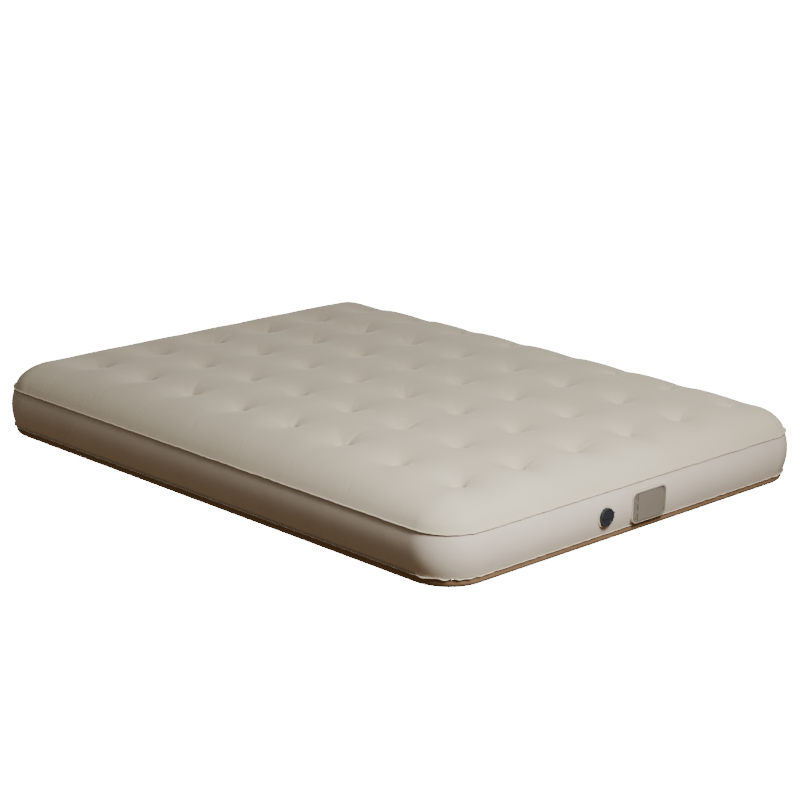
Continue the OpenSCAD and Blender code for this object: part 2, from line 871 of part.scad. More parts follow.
module motor_screws() {
  color("#8f8f8d") at_pump() for (side = [-1, 1]) translate([fan_x + side * motor_screw_x, 0, 0]) {
    rod(motor_screw_r + 1, volute_d1 - 3.2, volute_d1 - 2);
    rod(motor_screw_r, volute_d1 - 2, volute_d1 + 4);
  }
}

module outlet_duct() {
  color("#8a8377") at_pump() translate([selector_x, 0, 0])
    tube(duct_r, duct_bore_r, volute_d1, housing_back - housing_t);
}

// Spider in the duct that guides the plunger's stem
module plunger_guide() {
  ring_bore_r = 12.6;
  color("#6c675e") at_pump() translate([selector_x, 0, 0]) difference() {
    union() {
      tube(duct_bore_r, ring_bore_r, guide_d, guide_d + guide_t);
      rod(2 * stem_r, guide_d, guide_d + guide_t);
      slab(guide_d, guide_d + guide_t) cross_slot(2 * ring_bore_r + 0.8, 2);
    }
    rod(stem_r + run_gap, 100, housing_back);
  }
}

// Disc that shuts the outlet from inside the air chamber, with its stem and spring seat
module outlet_plunger() {
  plunger_t = 2.5;
  color("#3c3b39") at_pump() translate([selector_x, 0, 0]) {
    rod(outlet_r + 3, housing_back + 0.02, housing_back + plunger_t);
    rod(stem_r, stem_d + 1, housing_back + plunger_t);
    rod(stem_head_r, stem_d, stem_d + 1.5);
  }
}

// Coil spring between the guide and the stem's head
module plunger_spring() {
  turns = 5;
  turn_pitch = 2.9;
  coil_mean_r = 4.2;
  wire_r = 0.5;
  color("#c9c9c6") at_pump() translate([selector_x, 0, 0])
    for (turn = [0 : turns - 1])
      translate([0, stem_d + 2.4 + turn * turn_pitch, 0]) rotate([90, 0, 0])
        rotate_extrude() translate([coil_mean_r, 0]) circle(r = wire_r, $fn = 16);
}

// Insulated wires from the inlet to the switch and the motor, held inside the housing
module wire(points) {
  wire_r = 0.9;
  joint_r = 1.1;
  for (k = [0 : len(points) - 2]) {
    run = points[k + 1] - points[k];
    length = norm(run);
    translate(points[k])
      rotate([0, acos(run[2] / length), atan2(run[1], run[0])]) cylinder(h = length, r = wire_r);
  }
  for (k = [1 : len(points) - 2]) translate(points[k]) sphere(joint_r, $fn = 24);
}

module lead_wires() {
  color("#7b2f28") at_pump() {
    wire([[fitting_x - prong_x, prong_end + 0.5, inlet_z], [fitting_x - prong_x, 64, inlet_z],
          [-14, 64, inlet_z], [-14, 58, -8], [-16, 58, -8]]);
    wire([[fitting_x + prong_x, prong_end + 0.5, inlet_z], [fitting_x + prong_x, 64, -20],
          [46.5, 64, -26.5], [46.5, 100, -26.5], [fan_x + 10, 118, -8],
          [fan_x + 10, motor_back + 2.3, -2]]);
  }
}

top_sheet();
side_band();
end_panel();
bottom_sheet();
top_seam_flange();
bottom_seam_flange();
coil_tubes();
top_weld_discs();
bottom_weld_discs();
valve_weld_ring();
valve_body();
valve_flap();
valve_cap();
cap_seal();
cap_tether();
tether_pin();
pump_collar();
pump_housing();
bezel_gasket();
pump_bezel();
bezel_screws();
pump_door();
door_hinge_pin();
control_panel();
panel_screws();
selector_knob();
selector_shaft();
diverter_rotor();
diverter_body();
rotary_switch();
intake_grille();
power_inlet();
inlet_pins();
volute_front();
volute_back();
impeller();
motor_shaft();
armature();
motor_can();
motor_end_cap();
motor_screws();
outlet_duct();
plunger_guide();
outlet_plunger();
plunger_spring();
lead_wires();
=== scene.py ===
import json
import math

import bpy
from mathutils import Matrix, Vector
import numpy as np


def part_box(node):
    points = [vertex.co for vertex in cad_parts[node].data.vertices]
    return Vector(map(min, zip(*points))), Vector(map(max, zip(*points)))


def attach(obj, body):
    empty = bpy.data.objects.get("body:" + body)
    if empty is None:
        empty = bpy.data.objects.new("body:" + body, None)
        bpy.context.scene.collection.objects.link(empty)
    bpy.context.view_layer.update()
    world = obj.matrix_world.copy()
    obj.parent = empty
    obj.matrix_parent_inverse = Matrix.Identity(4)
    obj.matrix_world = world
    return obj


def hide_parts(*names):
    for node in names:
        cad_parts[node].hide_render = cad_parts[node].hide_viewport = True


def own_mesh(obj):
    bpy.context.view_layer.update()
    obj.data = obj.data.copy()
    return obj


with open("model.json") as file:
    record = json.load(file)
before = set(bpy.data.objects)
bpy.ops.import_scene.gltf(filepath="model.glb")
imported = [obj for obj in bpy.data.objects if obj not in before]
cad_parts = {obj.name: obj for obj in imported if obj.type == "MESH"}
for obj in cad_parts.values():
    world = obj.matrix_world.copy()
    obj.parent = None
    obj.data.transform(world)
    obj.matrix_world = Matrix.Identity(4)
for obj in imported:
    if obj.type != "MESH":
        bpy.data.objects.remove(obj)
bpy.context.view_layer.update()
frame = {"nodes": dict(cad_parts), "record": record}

rng = np.random.default_rng(11)

# --- Top sheet --------------------------------------------------------------------------
# The sleeping surface: one sheet of flocked film, welded to the band all round and to 48 coil
# tubes inside. The air lifts it into pillows and each weld pulls it down into a pinched dimple.

COIL_R = 0.030
COILS_X, COILS_Y = 6, 8
CREASES = 5                    # folds that run out from each dimple
CREASE_DEPTH = 0.0048
CREASE_HALF_W = 0.006
PINCH_DEPTH = 0.019            # the weld itself, in the middle of a dimple
PINCH_R = 0.014
PINNED_R = 0.0095
DIMPLE_CORE_R = 0.012          # disc that the tube holds level
HOLLOW_SHARE = 0.6            # share of a dimple's depth that is a wide soft hollow
HOLLOW_R = 0.044
OUTWARD_SHARE = 0.5            # the outer hollows reach 1 / this further towards the seam
CROWN_FALL = 0.012             # how much lower the pillows lie at the two ends
BORDER_FADE = 0.07             # how far the pillows' lift reaches past the outer coils
SHEET_STEP = 0.0066            # mean distance between the mesh's lines
FOLD_REACH = 0.03, 0.08        # how far a fold runs, least and most
FOLD_SHARE = 0.3, 1.0          # share of CREASE_DEPTH, least and most
FOLD_START = 0.004             # a fold starts this far from the coil's axis
FOLD_RISE = 0.012              # and is at its full depth after this run
SEAM_HELD = 0.003              # strip along the seam that doesn't move with the cloth
AIR_FRAMES = 20
MOST_PUCKER = 0.006            # furthest that the cloth step moves a point

discs_low, discs_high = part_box("top_weld_discs")
sheet_low, sheet_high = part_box("top_sheet")
seam_half = np.array([sheet_high[0] - sheet_low[0], sheet_high[1] - sheet_low[1]]) / 2
bed_y = (sheet_high[1] + sheet_low[1]) / 2
coil_x = np.linspace(discs_low[0] + COIL_R, discs_high[0] - COIL_R, COILS_X)
coil_y = np.linspace(discs_low[1] + COIL_R, discs_high[1] - COIL_R, COILS_Y)
SEAM_R = 0.125                 # corner radius of the seams
SHOULDER_RUN = 0.19            # run over which the sheet rises from the seam
SHOULDER_POWERS = 2.2, 0.65    # how full its curve is
CROWN_Z = sheet_high[2]
DIMPLE_Z = 0.212               # height of the welds in the middle of the bed
DIMPLE_FALL = 0.021            # how much lower they lie at the two ends


def crowded(low, high, coils, step, squeeze=0.42):
    """Grid lines from low to high that crowd round the coils: even lines, moved by a sine that
    has one wave for each coil and fades out towards both ends."""
    pitch = coils[1] - coils[0]
    line = np.linspace(low, high, round((high - low) / step) + 1)
    fade = np.clip((line - low) / (coils[0] - low), 0, 1) * np.clip(
        (high - line) / (high - coils[-1]), 0, 1)
    return line - fade * squeeze * pitch / (2 * np.pi) * np.sin(
        2 * np.pi * (line - coils[0]) / pitch)


def round_corners(x, y, half, radius):
    """Turns the plan of a rectangle into one with round corners: in each corner square, the
    square rings round the arc's centre become quarter circles."""
    px = np.abs(x) - (half[0] - radius)
    py = np.abs(y) - (half[1] - radius)
    corner = (px > 0) & (py > 0)
    ring = np.maximum(px, py) / np.maximum(np.hypot(px, py), 1e-9)
    new_x = np.sign(x) * np.where(corner, half[0] - radius + px * ring, np.abs(x))
    new_y = np.sign(y) * np.where(corner, half[1] - radius + py * ring, np.abs(y))
    return new_x, new_y


def settle(height, held, load, step, sweeps=500, over=1.92):
    """A film under even pressure: every free point moves, over-relaxed, towards the mean of its
    four neighbours plus load times step squared over four. Odd and even points take turns."""
    rows, cols = np.indices(height.shape)
    inside = np.zeros_like(held)
    inside[1:-1, 1:-1] = True
    for _ in range(sweeps):
        for parity in (0, 1):
            mean = np.zeros_like(height)
            mean[1:-1, 1:-1] = (height[:-2, 1:-1] + height[2:, 1:-1]
                                + height[1:-1, :-2] + height[1:-1, 2:]) / 4
            free = inside & ~held & ((rows + cols) % 2 == parity)
            height = np.where(
                free, height + over * (mean + load * step * step / 4 - height), height)
    return height


def grid_object(name, points, around=False, flip=False):
    """Makes a smooth mesh object from an array of points with two grid axes. With around, the
    second axis closes on itself. flip turns the faces over."""
    rows, cols = points.shape[:2]
    index = np.arange(rows * cols).reshape(rows, cols)
    if around:
        index = np.concatenate([index, index[:, :1]], axis=1)
    corners = [index[:-1, :-1], index[1:, :-1], index[1:, 1:], index[:-1, 1:]]
    faces = np.stack(corners[::-1] if flip else corners, axis=-1).reshape(-1, 4)
    mesh = bpy.data.meshes.new(name)
    mesh.from_pydata(points.reshape(-1, 3), [], faces)
    mesh.shade_smooth()
    piece = bpy.data.objects.new(name, mesh)
    bpy.context.scene.collection.objects.link(piece)
    return piece


def shoulder(inset):
    """Height of the sheet over its seam, by the distance in from the seam: a squarish ellipse
    that starts steep and ends level at the crown."""
    short = np.clip(1 - inset / SHOULDER_RUN, 0, 1)
    return (CROWN_Z - sheet_low[2]) * (1 - short ** SHOULDER_POWERS[0]) ** SHOULDER_POWERS[1]


def nearest_coil(x, y):
    """Distance and direction from the nearest coil's axis, and that coil's column and row."""
    col = np.clip(np.round((x - coil_x[0]) / (coil_x[1] - coil_x[0])), 0, COILS_X - 1).astype(int)
    row = np.clip(np.round((y - coil_y[0]) / (coil_y[1] - coil_y[0])), 0, COILS_Y - 1).astype(int)
    dx, dy = x - coil_x[col], y - coil_y[row]
    return np.hypot(dx, dy), np.arctan2(dy, dx), col, row


def pillows(step=0.005):
    """The pillows' height over the crown line, on an even grid: a film held at the seam and,
    lower, at every coil, under a load that brings the middle of four coils up to the line."""
    x = np.linspace(-seam_half[0], seam_half[0], round(2 * seam_half[0] / step) + 1)
    y = np.linspace(-seam_half[1], seam_half[1], round(2 * seam_half[1] / step) + 1)
    gx, gy = np.meshgrid(x, y + bed_y, indexing="ij")
    far, turn, _, _ = nearest_coil(gx, gy)
    held = far < DIMPLE_CORE_R
    end = (gy / seam_half[1]) ** 2
    depth = CROWN_Z - DIMPLE_Z + (DIMPLE_FALL - CROWN_FALL) * end
    pitch = math.sqrt((coil_x[1] - coil_x[0]) * (coil_y[1] - coil_y[0]))
    reach = pitch / math.sqrt(math.pi)
    share = reach ** 2 * (math.log(reach / DIMPLE_CORE_R) / 2 - 0.25)
    load = (1 - HOLLOW_SHARE) * (CROWN_Z - DIMPLE_Z) / share
    outside = np.hypot(np.maximum(np.abs(gx - coil_x.mean()) - np.ptp(coil_x) / 2, 0),
                       np.maximum(np.abs(gy - coil_y.mean()) - np.ptp(coil_y) / 2, 0))
    start = np.where(held, -(1 - HOLLOW_SHARE) * depth, 0.0)
    film = settle(start, held, load * np.exp(-(outside / BORDER_FADE) ** 2), step)
    film -= film.max()
    side_x, side_y = far * np.cos(turn), far * np.sin(turn)
    side_x *= np.where(np.abs(gx - coil_x.mean()) > np.ptp(coil_x) / 2, OUTWARD_SHARE, 1)
    side_y *= np.where(np.abs(gy - coil_y.mean()) > np.ptp(coil_y) / 2, OUTWARD_SHARE, 1)
    return x, y, film - HOLLOW_SHARE * depth * np.exp(
        -(side_x ** 2 + side_y ** 2) / HOLLOW_R ** 2)


def on_lines(values, x, y, new_x, new_y):
    """Reads an even grid at other lines, linearly along one axis and then along the other."""
    at_x = np.stack([np.interp(new_x, x, column) for column in values.T], axis=1)
    return np.stack([np.interp(new_y, y, row) for row in at_x])


lines_x = crowded(-seam_half[0], seam_half[0], coil_x, SHEET_STEP)
lines_y = crowded(-seam_half[1], seam_half[1], coil_y - bed_y, SHEET_STEP)
flat_x, flat_y = np.meshgrid(lines_x, lines_y, indexing="ij")
even_x, even_y, pillow = pillows()
lift = on_lines(pillow, even_x, even_y, lines_x, lines_y)
inset = np.minimum(seam_half[0] - np.abs(flat_x), seam_half[1] - np.abs(flat_y))
far, turn, col, row = nearest_coil(flat_x, flat_y + bed_y)
sheet_z = sheet_low[2] + shoulder(inset) + lift * np.clip(inset / SHOULDER_RUN, 0, 1)
sheet_z -= CROWN_FALL * (flat_y / seam_half[1]) ** 2 * np.clip(inset / SHOULDER_RUN, 0, 1)
plan_x, plan_y = round_corners(flat_x, flat_y, seam_half, SEAM_R)
top = grid_object("flocked_top", np.stack([plan_x, plan_y + bed_y, sheet_z], axis=-1))


def inflate(piece, pins, frames, cap):
    """Blows the film up as cloth: pressure from inside, no weight, held where pins is true, and
    cut a little too large, so that it puckers. No point ends further than cap from its start."""
    before = np.empty(len(piece.data.vertices) * 3)
    piece.data.vertices.foreach_get("co", before)
    piece.vertex_groups.new(name="held").add(np.flatnonzero(pins).tolist(), 1.0, "REPLACE")
    cloth = piece.modifiers.new("air", "CLOTH")
    cloth.settings.quality = 4
    cloth.settings.mass = 0.3
    cloth.settings.use_pressure = True
    cloth.settings.uniform_pressure_force = 4
    cloth.settings.tension_stiffness = cloth.settings.compression_stiffness = 20
    cloth.settings.bending_stiffness = 0.2
    cloth.settings.shrink_min = -0.001
    cloth.settings.vertex_group_mass = "held"
    cloth.settings.effector_weights.gravity = 0
    cloth.collision_settings.use_collision = False
    for moment in range(1, frames + 1):
        bpy.context.scene.frame_set(moment)
    blown = piece.evaluated_get(bpy.context.evaluated_depsgraph_get())
    after = np.empty_like(before)
    blown.data.vertices.foreach_get("co", after)
    piece.modifiers.remove(cloth)
    move = (after - before).reshape(-1, 3)
    size = np.linalg.norm(move, axis=1, keepdims=True)
    move *= cap * np.tanh(size / cap) / np.maximum(size, 1e-9)
    piece.data.vertices.foreach_set("co", (before.reshape(-1, 3) + move).ravel())
    piece.data.update()
    bpy.context.scene.frame_set(1)


inflate(top, ((inset < SEAM_HELD) | (far < PINNED_R)).ravel(), AIR_FRAMES, MOST_PUCKER)

# Each fold is a gaussian groove along a line that runs out from the weld, deepest near it; the
# weld is a round gaussian pit.
fold_turn = rng.uniform(-np.pi, np.pi, (COILS_X, COILS_Y, CREASES))
fold_reach = rng.uniform(*FOLD_REACH, (COILS_X, COILS_Y, CREASES))
fold_size = rng.uniform(*FOLD_SHARE, (COILS_X, COILS_Y, CREASES)) * CREASE_DEPTH
sunk = PINCH_DEPTH * np.exp(-(far / PINCH_R) ** 2)
for k in range(CREASES):
    off = np.angle(np.exp(1j * (turn - fold_turn[col, row, k]))) * far
    along = np.clip((far - FOLD_START) / FOLD_RISE, 0, 1)
    along *= np.exp(-(far / fold_reach[col, row, k]) ** 2)
    sunk += fold_size[col, row, k] * along * np.exp(-(off / CREASE_HALF_W) ** 2)
places = np.empty(len(top.data.vertices) * 3)
top.data.vertices.foreach_get("co", places)
places[2::3] -= sunk.ravel()
top.data.vertices.foreach_set("co", places)
top.data.update()
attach(top, "bed")
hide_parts("top_sheet")


class Shade:
    """One value in a material's node tree. Operators on it add Math nodes."""

    def __init__(self, tree, socket=None):
        self.tree, self.socket = tree, socket

    def node(self, kind, inputs=(), outlet=0, stops=(), **settings):
        """Adds a node, with its settings and ramp stops first and then its sockets."""
        made = self.tree.nodes.new(kind)
        for key, value in settings.items():
            setattr(made, key, value)
        for spot, tone in stops[2:]:
            made.color_ramp.elements.new(spot).color = tone
        for element, (spot, tone) in zip(made.color_ramp.elements if stops else (), stops[:2]):
            element.position, element.color = spot, tone
        for key, value in dict(inputs).items():
            if isinstance(value, Shade):
                self.tree.links.new(value.socket, made.inputs[key])
            else:
                made.inputs[key].default_value = value
        return Shade(self.tree, made.outputs[outlet])

    def math(self, operation, first, second):
        return self.node("ShaderNodeMath", {0: first, 1: second}, operation=operation)

    def __add__(self, other):
        return self.math("ADD", self, other)

    def __radd__(self, other):
        return self.math("ADD", other, self)

    def __mul__(self, other):
        return self.math("MULTIPLY", self, other)

    def __rmul__(self, other):
        return self.math("MULTIPLY", other, self)

    def place(self):
        """The object's own coordinates, in metres."""
        return self.node("ShaderNodeTexCoord", outlet="Object")

    def noise(self, scale, detail=2.0, rough=0.5, squash=(1, 1, 1)):
        """Noise with about scale waves a metre, stretched along an axis by squash."""
        at = self.node("ShaderNodeMapping", {"Vector": self.place(), "Scale": squash})
        return self.node("ShaderNodeTexNoise", {
            "Vector": at, "Scale": scale, "Detail": detail, "Roughness": rough})

    def between(self, low, high, amount):
        """A colour between low and high."""
        return self.node("ShaderNodeMix", {"Factor": amount, 6: low, 7: high}, outlet=2,
                         data_type="RGBA")

    def bump(self, height, distance, strength=1.0, under=None):
        """A normal from a height between 0 and 1, over another normal if one is given."""
        inputs = {"Height": height, "Distance": distance, "Strength": strength}
        if under:
            inputs["Normal"] = under
        return self.node("ShaderNodeBump", inputs)


def colour(red, green, blue):
    """An sRGB colour of 0 to 255 as the linear values that a shader takes."""
    share = np.array([red, green, blue]) / 255
    linear = np.where(share <= 0.04045, share / 12.92, ((share + 0.055) / 1.055) ** 2.4)
    return (*linear.tolist(), 1.0)


def material(name, fixed, varied):
    """A material whose Principled shader takes fixed values and, from varied, which is given a
    Shade of the tree, a dictionary of linked sockets."""
    made = bpy.data.materials.new(name)
    made.use_nodes = True
    shader = made.node_tree.nodes["Principled BSDF"]
    for key, value in fixed.items():
        shader.inputs[key].default_value = value
    for key, value in varied(Shade(made.node_tree)).items():
        made.node_tree.links.new(value.socket, shader.inputs[key])
    return made


def flock(s):
    """Short upright fibres: brushed patches a hand wide, a fine grain, and a fuzzy bump."""
    patches = s.noise(5.0, 3.0, 0.6)
    grain = s.noise(420.0, 2.0, 0.7)
    tone = s.between(colour(172, 163, 142), colour(195, 187, 167), patches * 0.7 + grain * 0.3)
    return {
        "Base Color": tone,
        "Normal": s.bump(grain, 0.0006, 0.6, s.bump(patches, 0.003, 0.15)),
    }


flock_material = material("flocked_velour", {
    "Roughness": 0.95, "Sheen Weight": 0.35, "Sheen Roughness": 0.5,
    "Sheen Tint": colour(235, 228, 214), "Specular IOR Level": 0.2}, flock)
top.data.materials.append(flock_material)

# --- Side band --------------------------------------------------------------------------
# A strip of smooth film between the two seams, bulged by the air. The window for the pump and
# the hole for the valve are cut into its end stretch, and their frames are welded over the edges.

BAND_BULGE = 0.012
BAND_ROWS = 28
BAND_STEP = 0.008
BAND_OUT = 0.0002              # the strip lies this far outside the sheets' edges
BAND_LAP = 0.0006              # and reaches this far past them
BAND_FILM_T = 0.0012
FRAME_LAP = 0.001              # a frame covers this much of the film round its hole
CUT_LENGTH = 0.1
WINDOW_R = 0.0165


def round_path(half, radius, step):
    """Points and outward normals round a rectangle with round corners, by arc length: each
    quarter is half a side, a quarter circle and half of the next side."""
    straight = np.array(half) - radius
    quarter = radius * np.pi / 2
    total = 4 * (straight[0] + straight[1]) + 4 * quarter
    run = np.arange(round(total / step)) * total / round(total / step)
    lengths = []
    for side in range(4):
        first, second = (straight[1], straight[0]) if side % 2 == 0 else (straight[0], straight[1])
        lengths += [first, quarter, second]
    marks = np.concatenate([[0], np.cumsum(lengths)])
    points, normals = np.zeros((len(run), 2)), np.zeros((len(run), 2))
    for side in range(4):
        a0, a1, a2, a3 = marks[3 * side:3 * side + 4]
        base = math.radians(90 * side)
        ahead = np.array([-math.sin(base), math.cos(base)])
        out = np.array([math.cos(base), math.sin(base)])
        first, second = (straight[1], straight[0]) if side % 2 == 0 else (straight[0], straight[1])
        reach = half[0] if side % 2 == 0 else half[1]
        on = (run >= a0) & (run < a1)
        points[on] = out * reach + ahead * (run[on] - a0)[:, None]
        normals[on] = out
        on = (run >= a1) & (run < a2)
        swing = base + (run[on] - a1) / radius
        centre = out * (reach - radius) + ahead * first
        normals[on] = np.stack([np.cos(swing), np.sin(swing)], axis=1)
        points[on] = centre + radius * normals[on]
        on = (run >= a2) & (run < a3)
        next_reach = half[1] if side % 2 == 0 else half[0]
        points[on] = ahead * next_reach + out * (second - (run[on] - a2))[:, None]
        normals[on] = ahead
    return points + np.array([0, bed_y]), normals, run, total


band_low, band_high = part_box("side_band")
path, outward, run, total = round_path(seam_half + BAND_OUT, SEAM_R, BAND_STEP)
rise = np.linspace(0, 1, BAND_ROWS + 1)
bulge = BAND_BULGE * (1 - (2 * rise - 1) ** 2)
band_xy = path[None] + outward[None] * bulge[:, None, None]
band_z = np.broadcast_to(
    (band_low[2] - BAND_LAP + rise * (band_high[2] - band_low[2] + 2 * BAND_LAP))[:, None, None],
    (*band_xy.shape[:2], 1))
band = grid_object("band", np.concatenate([band_xy, band_z], axis=-1), around=True, flip=True)
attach(band, "bed")
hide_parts("side_band", "end_panel")


def cut(piece, name, size, centre, round_r, around=48):
    """Cuts a hole with a box along Y that has round edges, from around points a side."""
    mesh = bpy.data.meshes.new(name)
    cutter = bpy.data.objects.new(name, mesh)
    turn_at = np.linspace(0, 2 * np.pi, around + 1)[:-1]
    corner = np.stack([np.sign(np.cos(turn_at)) * (size[0] / 2 - round_r)
                       + round_r * np.cos(turn_at),
                       np.sign(np.sin(turn_at)) * (size[2] / 2 - round_r)
                       + round_r * np.sin(turn_at)], axis=1)
    ends = [np.stack([centre[0] + corner[:, 0], np.full(around, centre[1] + side * size[1] / 2),
                      centre[2] + corner[:, 1]], axis=1) for side in (-1, 1)]
    front = np.arange(around)
    sides = np.stack([front + around, np.roll(front, -1) + around, np.roll(front, -1), front],
                     axis=1)
    mesh.from_pydata(np.concatenate(ends), [], [*sides.tolist(), front.tolist(),
                                                (front + around)[::-1].tolist()])
    bpy.context.scene.collection.objects.link(cutter)
    opening = piece.modifiers.new("opening", "BOOLEAN")
    opening.operation, opening.object, opening.solver = "DIFFERENCE", cutter, "EXACT"
    bpy.context.view_layer.objects.active = piece
    with bpy.context.temp_override(object=piece, active_object=piece):
        bpy.ops.object.modifier_apply(modifier=opening.name)
    bpy.data.objects.remove(cutter)


wall = band.modifiers.new("film", "SOLIDIFY")
wall.thickness, wall.offset = BAND_FILM_T, -1
with bpy.context.temp_override(object=band, active_object=band):
    bpy.ops.object.modifier_apply(modifier=wall.name)
for frame_node, hole in (("pump_collar", "pump_hole"), ("valve_weld_ring", "valve_hole")):
    rim_low, rim_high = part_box(frame_node)
    hole_size = [rim_high[0] - rim_low[0] - 2 * FRAME_LAP, CUT_LENGTH,
                 rim_high[2] - rim_low[2] - 2 * FRAME_LAP]
    hole_at = [(rim_high[0] + rim_low[0]) / 2, rim_low[1], (rim_high[2] + rim_low[2]) / 2]
    hole_r = WINDOW_R if hole == "pump_hole" else hole_size[0] / 2 - 1e-5
    cut(band, hole, hole_size, hole_at, hole_r)


def film(low, high, shine):
    """Calendered vinyl film: faint cloudy tone, soft stretch marks and a satin shine."""
    def varied(s):
        clouds = s.noise(9.0, 3.0, 0.55)
        marks = s.noise(60.0, 4.0, 0.6, squash=(1, 1, 3))
        return {
            "Base Color": s.between(low, high, clouds),
            "Roughness": shine + clouds * 0.12,
            "Normal": s.bump(marks, 0.0008, 0.25),
        }
    return varied


band_material = material("band_film", {"Specular IOR Level": 0.35},
                         film(colour(186, 176, 162), colour(200, 192, 179), 0.48))
band.data.materials.append(band_material)

# --- Bottom sheet -----------------------------------------------------------------------
# The plain film under the bed. It curls in from the lower seam to the floor and is flat there,
# apart from a shallow dimple at each coil.

CURL_RUN = 0.040
CURL_POWER = 3.2               # how square the roll under the seam is
LOW_DIMPLE = 0.008
LOW_DIMPLE_R = 0.03
ROLL_EDGE = 0.055              # strip along the seam whose lines lie closer together
LOW_STEP = 0.013
tray_low, tray_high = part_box("bottom_sheet")


def curl(inset):
    """Height over the floor, by the distance in from the seam: a squarish ellipse that starts
    upright at the seam and ends level on the floor."""
    short = np.clip(1 - inset / CURL_RUN, 0, 1)
    return (tray_high[2] - tray_low[2]) * (1 - (1 - short ** CURL_POWER) ** (1 / CURL_POWER))


# The lines lie closest where the roll is steepest
low_lines = []
for half in seam_half:
    edge = np.array([0, 5e-5, 0.0003, 0.0008, 0.0018, 0.0035, 0.006, 0.010, 0.016, 0.024, 0.036])
    middle = np.linspace(-half + ROLL_EDGE, half - ROLL_EDGE, round(2 * half / LOW_STEP))
    low_lines.append(np.concatenate([-half + edge, middle, half - edge[::-1]]))
low_x, low_y = np.meshgrid(*low_lines, indexing="ij")
low_inset = np.minimum(seam_half[0] - np.abs(low_x), seam_half[1] - np.abs(low_y))
low_far, _, _, _ = nearest_coil(low_x, low_y + bed_y)
tray_z = tray_low[2] + curl(low_inset) + LOW_DIMPLE * np.exp(-(low_far / LOW_DIMPLE_R) ** 2)
low_plan_x, low_plan_y = round_corners(low_x, low_y, seam_half, SEAM_R)
under = grid_object("underside", np.stack([low_plan_x, low_plan_y + bed_y, tray_z], axis=-1),
                    flip=True)
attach(under, "bed")
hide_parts("bottom_sheet")
under_material = material("bottom_film", {"Specular IOR Level": 0.3},
                          film(colour(128, 104, 80), colour(142, 117, 92), 0.5))
under.data.materials.append(under_material)

# --- Seam flanges -----------------------------------------------------------------------
# Where two films are welded edge to edge, a thin lip stands out all round the bed. The heat
# leaves it slightly wavy.

LIP = 0.006
LIP_HALF_T = 0.0005
LIP_ROOT = 0.0018              # part of the lip that is hidden between the films
LIP_STEP = 0.006
LIP_SINES = 24
LIP_WAVES = 20, 260            # waves round the bed, fewest and most


def lip(name, node, wave, corner_wave):
    """A thin strip round the seam with a round edge: a closed section carried along the path,
    lifted by a sum of sines of the arc length, which grows towards the corners."""
    low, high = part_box(node)
    lip_path, lip_out, lip_run, lip_total = round_path(seam_half, SEAM_R, LIP_STEP)
    phase = rng.uniform(0, 2 * np.pi, LIP_SINES)
    counts = rng.integers(*LIP_WAVES, LIP_SINES)
    ripple = sum(np.sin(2 * np.pi * n * lip_run / lip_total + p) for n, p in zip(counts, phase))
    ripple = ripple / math.sqrt(LIP_SINES / 2)
    reach = np.array([-LIP_ROOT, 0.002, LIP - LIP_HALF_T])
    across = np.concatenate([reach, [LIP], reach[::-1]])
    height = LIP_HALF_T * np.array([-1, -1, -1, 0, 1, 1, 1])
    bend = np.minimum(*np.abs(lip_out.T)) * 2 ** 0.5
    sway = (wave + corner_wave * np.clip(3 * bend, 0, 1)) * ripple
    xy = lip_path[None] + lip_out[None] * across[:, None, None]
    z = (low[2] + high[2]) / 2 + height[:, None] + sway * np.clip(across / LIP, 0, 1)[:, None]
    piece = grid_object(name, np.concatenate([xy, z[..., None]], axis=-1), around=True, flip=True)
    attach(piece, "bed")
    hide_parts(node)
    return piece


top_lip = lip("top_lip", "top_seam_flange", 0.0004, 0.0006)
low_lip = lip("low_lip", "bottom_seam_flange", 0.0004, 0.0008)
lip_material = material("welded_film", {"Specular IOR Level": 0.35},
                        film(colour(178, 167, 150), colour(192, 182, 166), 0.45))
top_lip.data.materials.append(lip_material)
low_lip.data.materials.append(lip_material)

# --- Moulded and metal pieces that keep their CAD shape ---------------------------------
# The pump, its case and door, the valve and its plug are moulded and turned parts whose shape
# the CAD gives in full. Each takes the finish of its material slot.


def moulded(low, high, shine, grain):
    """Moulded plastic: an even tone with a fine spark-eroded grain."""
    def varied(s):
        pores = s.noise(grain, 2.0, 0.6)
        clouds = s.noise(30.0, 2.0, 0.5)
        return {
            "Base Color": s.between(low, high, clouds),
            "Roughness": shine + pores * 0.15,
            "Normal": s.bump(pores, 0.0002, 0.35),
        }
    return varied


def metal(low, high, shine):
    """Plated or turned metal with faint brushing."""
    def varied(s):
        brush = s.noise(900.0, 2.0, 0.6, squash=(1, 0.1, 1))
        return {
            "Base Color": s.between(low, high, brush),
            "Roughness": shine + brush * 0.15,
        }
    return varied


finishes = {
    "taupe_plastic": material("taupe_plastic", {}, moulded(
        colour(107, 101, 92), colour(115, 109, 100), 0.42, 1500.0)),
    "case_plastic": material("case_plastic", {}, moulded(
        colour(82, 77, 69), colour(90, 84, 75), 0.5, 1500.0)),
    # Painted reflection: the black plastic is painted lighter and blue-grey, standing in for the
    # blue-grey highlights on the valve's cap; the plastic itself is darker and neutral.
    "black_plastic": material("black_plastic", {}, moulded(
        colour(30, 34, 40), colour(38, 43, 50), 0.18, 1200.0)),
    "black_rubber": material("black_rubber", {}, moulded(
        colour(34, 34, 34), colour(42, 41, 40), 0.7, 700.0)),
    "white_plastic": material("white_plastic", {}, moulded(
        colour(214, 208, 196), colour(224, 219, 208), 0.45, 1200.0)),
    "seam_film": lip_material,
    "inner_film": lip_material,
    "steel": material("steel", {"Metallic": 1.0}, metal(
        colour(176, 176, 172), colour(196, 196, 192), 0.3)),
    "copper_winding": material("copper_winding", {"Metallic": 1.0}, metal(
        colour(170, 92, 50), colour(196, 116, 70), 0.35)),
    "wire_sheath": material("wire_sheath", {}, moulded(
        colour(120, 34, 26), colour(134, 42, 32), 0.4, 600.0)),
}
slots = {p["node"]: p["material_slot"] for p in frame["record"]["subparts"]}
